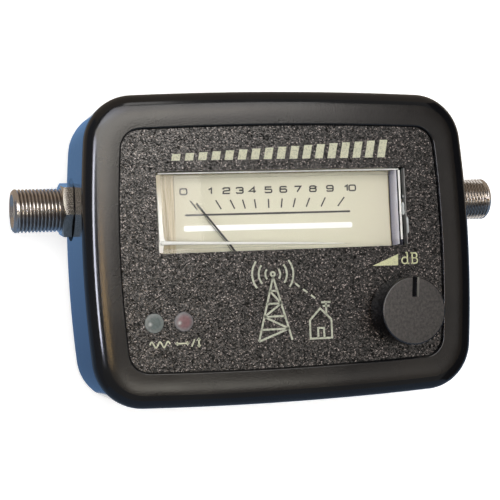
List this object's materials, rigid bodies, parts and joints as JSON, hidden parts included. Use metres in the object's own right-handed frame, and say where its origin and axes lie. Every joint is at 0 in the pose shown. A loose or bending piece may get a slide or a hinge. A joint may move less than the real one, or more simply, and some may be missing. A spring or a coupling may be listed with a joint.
{
  "type": "satellite signal meter",
  "caption": "Pocket dial instrument with threaded coaxial sockets at its ends, a level knob and indicator lamps, joined into an aerial lead to aim a dish.",
  "frame": {"origin": "centre of the flat back, on the plane that the meter lies on", "axes": "+X along the face, towards the knob's end; +Y towards the upper edge of the face; +Z out of the face"},
  "size_m": [0.1132, 0.0678, 0.0367],
  "materials": {
    "housing_front": "satin moulded black",
    "housing_rear": "gloss moulded black",
    "overlay": "grained dark print",
    "nickel": "nickel plate",
    "brass": "bright brass",
    "steel": "bright zinc plate",
    "copper": "bare copper wire",
    "insulator": "natural white",
    "clear": "clear moulding",
    "scale": "cream print",
    "tray": "pale moulding",
    "needle": "black paint",
    "green_lens": "tinted resin",
    "red_lens": "tinted resin",
    "spot": "smoked clear",
    "knob": "satin moulded black",
    "board": "solder mask over glass cloth",
    "black_part": "moulded epoxy",
    "sleeve": "shrunk sleeve",
    "ferrite": "fired ferrite",
    "bulb": "clear glass"
  },
  "bodies": {
    "case": {"front_shell": "housing_front", "rear_shell": "housing_rear", "panel_overlay": "overlay", "case_screw_1": "steel", "case_screw_2": "steel", "case_screw_3": "steel", "case_screw_4": "steel", "lnb_socket": "nickel", "lnb_socket_nut": "nickel", "lnb_socket_washer": "nickel", "lnb_socket_insulator": "insulator", "lnb_socket_contact": "brass", "receiver_socket": "nickel", "receiver_socket_nut": "nickel", "receiver_socket_washer": "nickel", "receiver_socket_insulator": "insulator", "receiver_socket_contact": "brass", "meter_cover": "clear", "meter_base": "tray", "scale_plate": "scale", "dial_lamp": "bulb", "meter_yoke": "steel", "magnet_core": "ferrite", "core_bracket": "brass", "upper_bridge": "brass", "upper_jewel": "red_lens", "lower_jewel": "red_lens", "upper_hairspring": "brass", "lower_hairspring": "brass", "meter_lead_1": "copper", "meter_lead_2": "copper", "pot_body": "black_part", "pot_nut": "steel", "green_lamp": "green_lens", "red_lamp": "red_lens", "green_lamp_spot": "spot", "red_lamp_spot": "spot", "main_board": "board", "board_screw_1": "steel", "board_screw_2": "steel", "buzzer": "black_part", "capacitor_1": "sleeve", "capacitor_2": "sleeve", "signal_chip": "black_part", "tone_chip": "black_part", "regulator": "black_part", "choke": "ferrite"},
    "knob": {"knob": "knob", "pot_shaft": "steel"},
    "pointer": {"pointer": "needle", "pointer_weight": "brass", "moving_coil": "copper", "upper_spindle": "steel", "lower_spindle": "steel"}
  },
  "joints": [
    {"name": "level_knob_turn", "type": "hinge", "parent": "case", "child": "knob", "pos_m": [0.0261, -0.0153, 0.0297], "axis": [0, 0, 1], "range_deg": [-145, 155]},
    {"name": "pointer_swing", "type": "hinge", "parent": "case", "child": "pointer", "pos_m": [-0.0019, -0.0113, 0.0229], "axis": [0, 0, 1], "range_deg": [-78, 0], "stiffness_Nm_per_rad": 0.00002}
  ]
}
